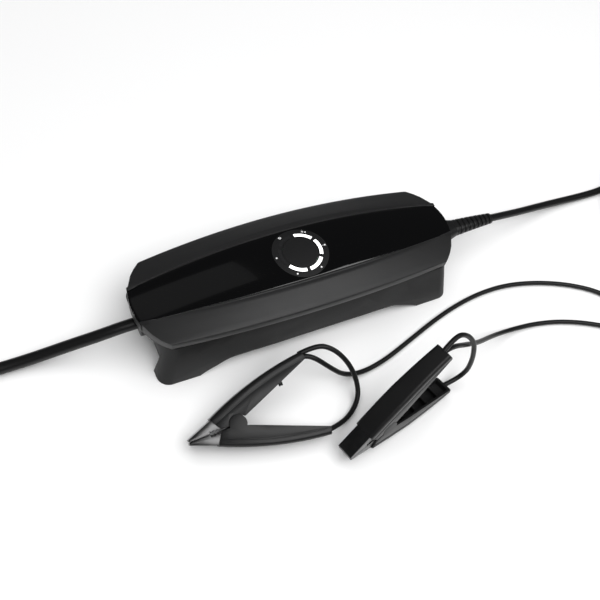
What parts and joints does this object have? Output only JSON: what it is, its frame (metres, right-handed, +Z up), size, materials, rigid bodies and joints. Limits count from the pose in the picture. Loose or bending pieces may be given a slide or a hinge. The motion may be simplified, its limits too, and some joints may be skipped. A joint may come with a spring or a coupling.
{
  "type": "car battery charger",
  "caption": "Smart car battery charger: bowed two-shell case with a lit start button, mains lead with plug, output lead with connector, and a lead set with spring clamps.",
  "frame": {"origin": "on the floor, under the middle of the case", "axes": "+X along the case towards the mains inlet, +Y away from the clamps, +Z up"},
  "size_m": [0.6371, 0.281, 0.0557],
  "materials": {
    "cover_plastic": "fine satin texture",
    "gloss_black": "polished",
    "button_plastic": "satin",
    "light_guide_clear": "frosted, partly lit",
    "circuit_green": "solder mask",
    "led_white": "clear",
    "dark_plastic": "moulded",
    "seal_rubber": "matt",
    "shell_plastic": "fine satin texture",
    "screw_steel": "zinc plated",
    "ferrite": "sintered",
    "winding_tape": "tape",
    "capacitor_sleeve": "printed sleeve",
    "sink_aluminium": "extruded",
    "fuse_glass": "clear",
    "contact_brass": "plated",
    "cord_vinyl": "smooth vinyl",
    "clamp_lead_vinyl": "smooth vinyl",
    "clamp_plastic": "moulded satin",
    "jaw_chrome": "nickel plated",
    "spring_steel": "drawn wire"
  },
  "bodies": {
    "case": {"top_cover": "cover_plastic", "gloss_panel": "gloss_black", "light_guide": "light_guide_clear", "display_board": "circuit_green", "ring_leds": "led_white", "tact_switch": "dark_plastic", "cover_seal": "seal_rubber", "bottom_shell": "shell_plastic", "case_screws": "screw_steel", "circuit_board": "circuit_green", "transformer_core": "ferrite", "transformer_winding": "winding_tape", "input_capacitor": "capacitor_sleeve", "output_capacitors": "capacitor_sleeve", "filter_choke": "ferrite", "heat_sink": "sink_aluminium", "power_transistors": "dark_plastic", "output_relay": "dark_plastic", "fuse": "fuse_glass", "mains_inlet": "dark_plastic", "inlet_pins": "contact_brass", "mains_connector": "cord_vinyl", "mains_boot": "cord_vinyl", "mains_lead": "cord_vinyl", "mains_lead_coil": "cord_vinyl", "mains_lead_tail": "cord_vinyl", "mains_plug": "cord_vinyl", "mains_plug_pins": "contact_brass", "output_gland": "dark_plastic", "output_lead": "cord_vinyl", "output_lead_coil": "cord_vinyl", "output_lead_tail": "cord_vinyl", "output_connector": "dark_plastic", "output_contacts": "contact_brass", "clamp_connector": "dark_plastic", "clamp_contacts": "contact_brass", "clamp_lead_left": "clamp_lead_vinyl", "clamp_lead_right": "clamp_lead_vinyl", "clamp_lead_coil": "clamp_lead_vinyl", "clamp_lead_tail": "clamp_lead_vinyl", "left_jumper": "clamp_lead_vinyl", "right_jumper": "clamp_lead_vinyl", "cable_ties": "dark_plastic", "left_lower_arm": "clamp_plastic", "left_lower_jaw": "jaw_chrome", "left_pivot_pin": "screw_steel", "left_torsion_spring": "spring_steel", "right_lower_arm": "clamp_plastic", "right_lower_jaw": "jaw_chrome", "right_pivot_pin": "screw_steel", "right_torsion_spring": "spring_steel"},
    "start_button": {"start_button": "button_plastic"},
    "left_clamp_arm": {"left_upper_arm": "clamp_plastic", "left_upper_jaw": "jaw_chrome"},
    "right_clamp_arm": {"right_upper_arm": "clamp_plastic", "right_upper_jaw": "jaw_chrome"}
  },
  "joints": [
    {"name": "start_button_press", "type": "slide", "parent": "case", "child": "start_button", "axis": [0, 0, -1], "range_m": [0, 0.0006], "stiffness_N_per_m": 1500, "springref_m": -0.0005},
    {"name": "left_clamp_squeeze", "type": "hinge", "parent": "case", "child": "left_clamp_arm", "pos_m": [-0.07142, -0.08004, 0.01229], "axis": [0.0796, 0.379, -0.922], "range_deg": [0, 35], "stiffness_Nm_per_rad": 0.5, "springref_deg": -57.3, "deforming": ["left_torsion_spring"]},
    {"name": "right_clamp_squeeze", "type": "hinge", "parent": "case", "child": "right_clamp_arm", "pos_m": [0.00965, -0.11033, 0.01653], "axis": [-0.2369, 0.9578, -0.163], "range_deg": [0, 35], "stiffness_Nm_per_rad": 0.5, "springref_deg": -57.3, "deforming": ["right_torsion_spring"]}
  ]
}
